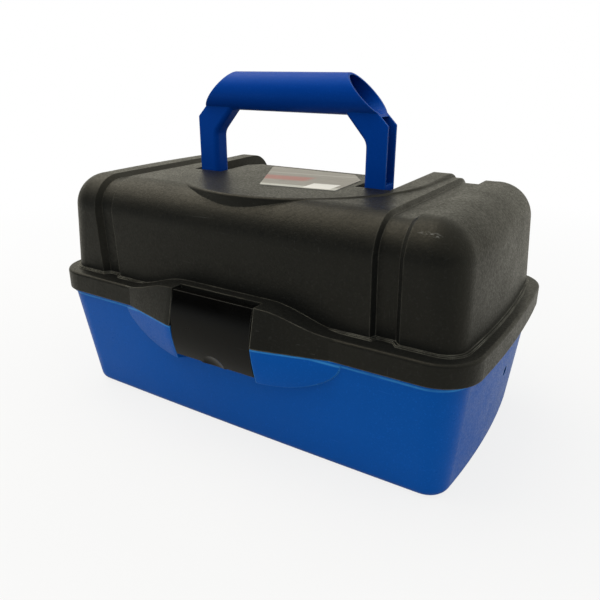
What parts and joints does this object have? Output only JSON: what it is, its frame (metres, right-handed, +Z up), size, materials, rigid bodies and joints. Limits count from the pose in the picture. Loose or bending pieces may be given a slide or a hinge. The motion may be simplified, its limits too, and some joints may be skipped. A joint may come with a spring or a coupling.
{
  "type": "tackle box",
  "caption": "Tackle box with a tapered base, a domed hinged lid, a folding tubular handle, a front latch and two trays that lift out on links.",
  "frame": {"origin": "middle of the flat underside that the box stands on", "axes": "+X to the right along the box, +Y towards the hinges at the back, +Z up"},
  "size_m": [0.3552, 0.2164, 0.2566],
  "materials": {
    "base_blue": "satin moulded polypropylene",
    "lid_charcoal": "finely grained moulded polypropylene",
    "handle_blue": "satin moulded plastic",
    "latch_black": "satin moulded plastic",
    "label": "printed film",
    "tray_grey": "satin moulded plastic",
    "divider_grey": "satin moulded plastic",
    "link_grey": "moulded plastic",
    "steel": "zinc plated"
  },
  "bodies": {
    "base": {"base_shell": "base_blue", "hinge_pins": "steel", "base_link_pins": "steel"},
    "lid": {"lid_shell": "lid_charcoal", "label": "label", "lid_tray_pins": "steel", "handle_pins": "steel", "latch_pin": "steel"},
    "handle": {"handle": "handle_blue"},
    "latch": {"latch": "latch_black"},
    "front_link_right": {"front_link_right": "link_grey"},
    "front_link_left": {"front_link_left": "link_grey"},
    "rear_link_right": {"rear_link_right": "link_grey"},
    "rear_link_left": {"rear_link_left": "link_grey"},
    "lower_tray": {"lower_tray": "tray_grey", "lower_tray_rivets": "steel", "lower_tray_dividers": "divider_grey"},
    "upper_tray": {"upper_tray": "tray_grey", "upper_tray_rivets": "steel", "upper_tray_dividers": "divider_grey"}
  },
  "joints": [
    {"name": "lid_hinge", "type": "hinge", "parent": "base", "child": "lid", "pos_m": [0, 0.101, 0.092], "axis": [-1, 0, 0], "range_deg": [0, 95]},
    {"name": "handle_fold", "type": "hinge", "parent": "lid", "child": "handle", "pos_m": [0, -0.0065, 0.176], "axis": [-1, 0, 0], "range_deg": [0, 90]},
    {"name": "latch_swing", "type": "hinge", "parent": "lid", "child": "latch", "pos_m": [0, -0.1005, 0.1105], "axis": [-1, 0, 0], "range_deg": [0, 70]},
    {"name": "front_link_right_turn", "type": "hinge", "parent": "base", "child": "front_link_right", "pos_m": [0, 0.018, 0.054], "axis": [-1, 0, 0], "range_deg": [0, 95]},
    {"name": "front_link_left_turn", "type": "hinge", "parent": "base", "child": "front_link_left", "pos_m": [0, 0.018, 0.054], "axis": [-1, 0, 0], "range_deg": [0, 95]},
    {"name": "lower_tray_turn", "type": "hinge", "parent": "front_link_right", "child": "lower_tray", "pos_m": [0, -0.00002, 0.06662], "axis": [-1, 0, 0], "range_deg": [-95, 0]},
    {"name": "upper_tray_turn", "type": "hinge", "parent": "lid", "child": "upper_tray", "pos_m": [0, 0.02318, 0.14649], "axis": [-1, 0, 0], "range_deg": [-95, 0]},
    {"name": "rear_link_right_turn", "type": "hinge", "parent": "upper_tray", "child": "rear_link_right", "pos_m": [0, -0.03882, 0.11649], "axis": [-1, 0, 0], "range_deg": [0, 95]},
    {"name": "rear_link_left_turn", "type": "hinge", "parent": "upper_tray", "child": "rear_link_left", "pos_m": [0, -0.03882, 0.11649], "axis": [-1, 0, 0], "range_deg": [0, 95]}
  ],
  "couplings": [
    {"joint": "front_link_right_turn", "follows": "lid_hinge", "ratio": 1},
    {"joint": "front_link_left_turn", "follows": "lid_hinge", "ratio": 1},
    {"joint": "lower_tray_turn", "follows": "lid_hinge", "ratio": -1},
    {"joint": "upper_tray_turn", "follows": "lid_hinge", "ratio": -1},
    {"joint": "rear_link_right_turn", "follows": "lid_hinge", "ratio": 1},
    {"joint": "rear_link_left_turn", "follows": "lid_hinge", "ratio": 1}
  ]
}
